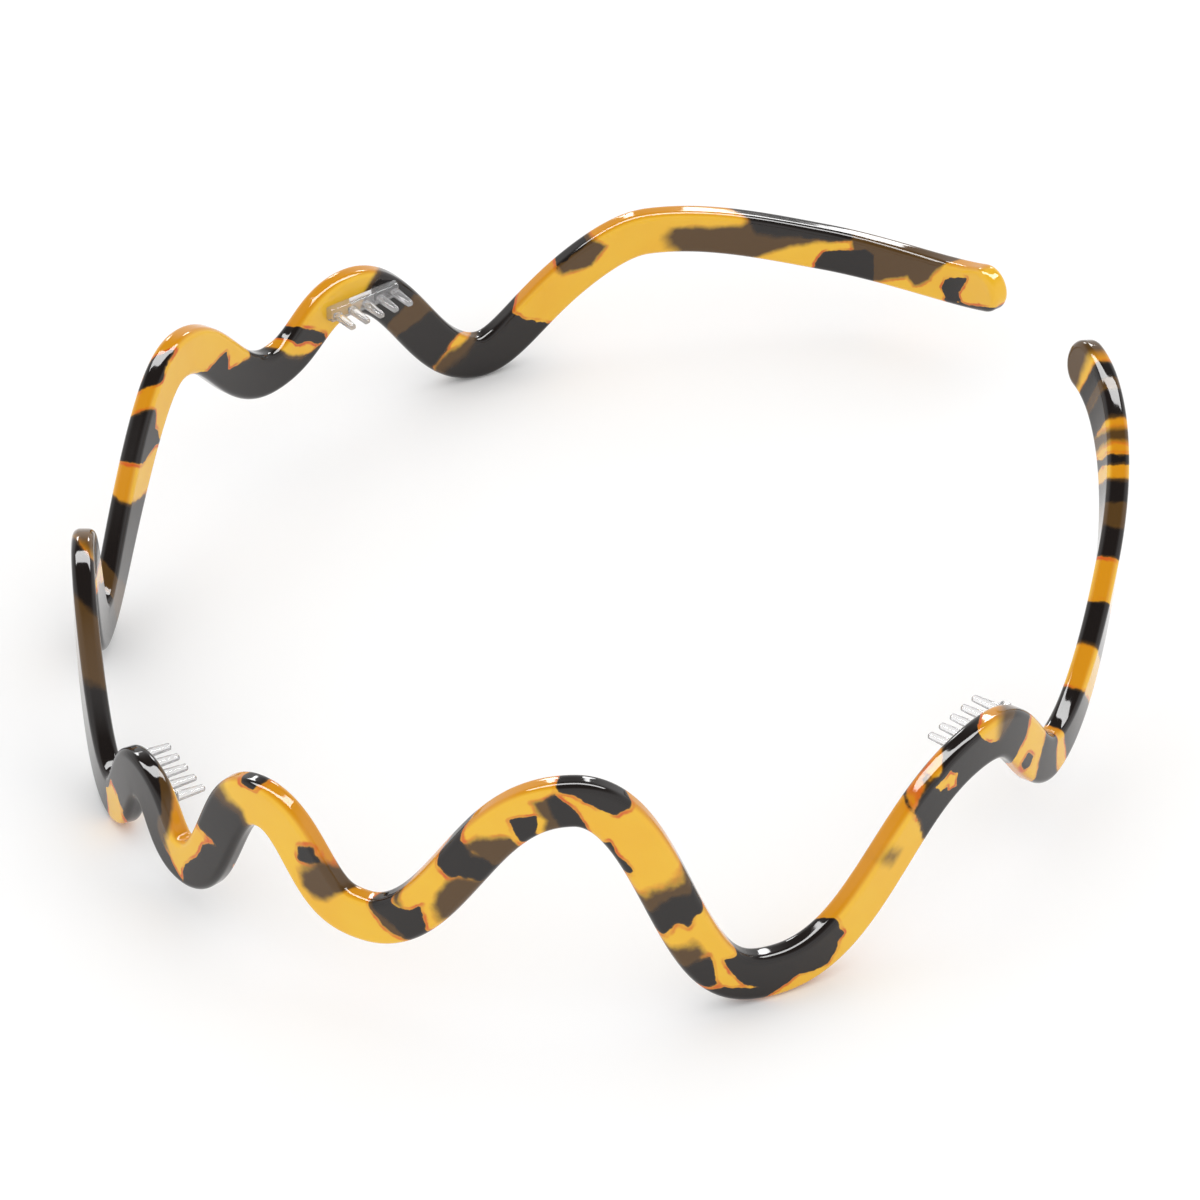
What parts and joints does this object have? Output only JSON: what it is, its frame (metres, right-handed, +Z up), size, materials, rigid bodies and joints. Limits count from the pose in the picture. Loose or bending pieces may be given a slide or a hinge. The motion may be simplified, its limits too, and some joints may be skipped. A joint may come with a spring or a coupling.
{
  "type": "headband",
  "caption": "Open wavy hair hoop in tortoiseshell plastic strip, with small clear toothed combs fixed inside to grip the hair.",
  "frame": {"origin": "on the floor under the middle of the bounding box, with the hoop lying on its side", "axes": "+Z up across the strip's width, +Y from the crown of the hoop to the gap between its tips, +X to the right of that"},
  "size_m": [0.132, 0.1486, 0.0407],
  "materials": {
    "tortoiseshell": "polished cellulose acetate, honey amber with dark brown blotches",
    "clear_comb": "clear moulded plastic"
  },
  "bodies": {
    "root": {"hoop_band": "tortoiseshell", "comb_side_a": "clear_comb", "comb_crown": "clear_comb", "comb_side_b": "clear_comb"}
  },
  "joints": []
}
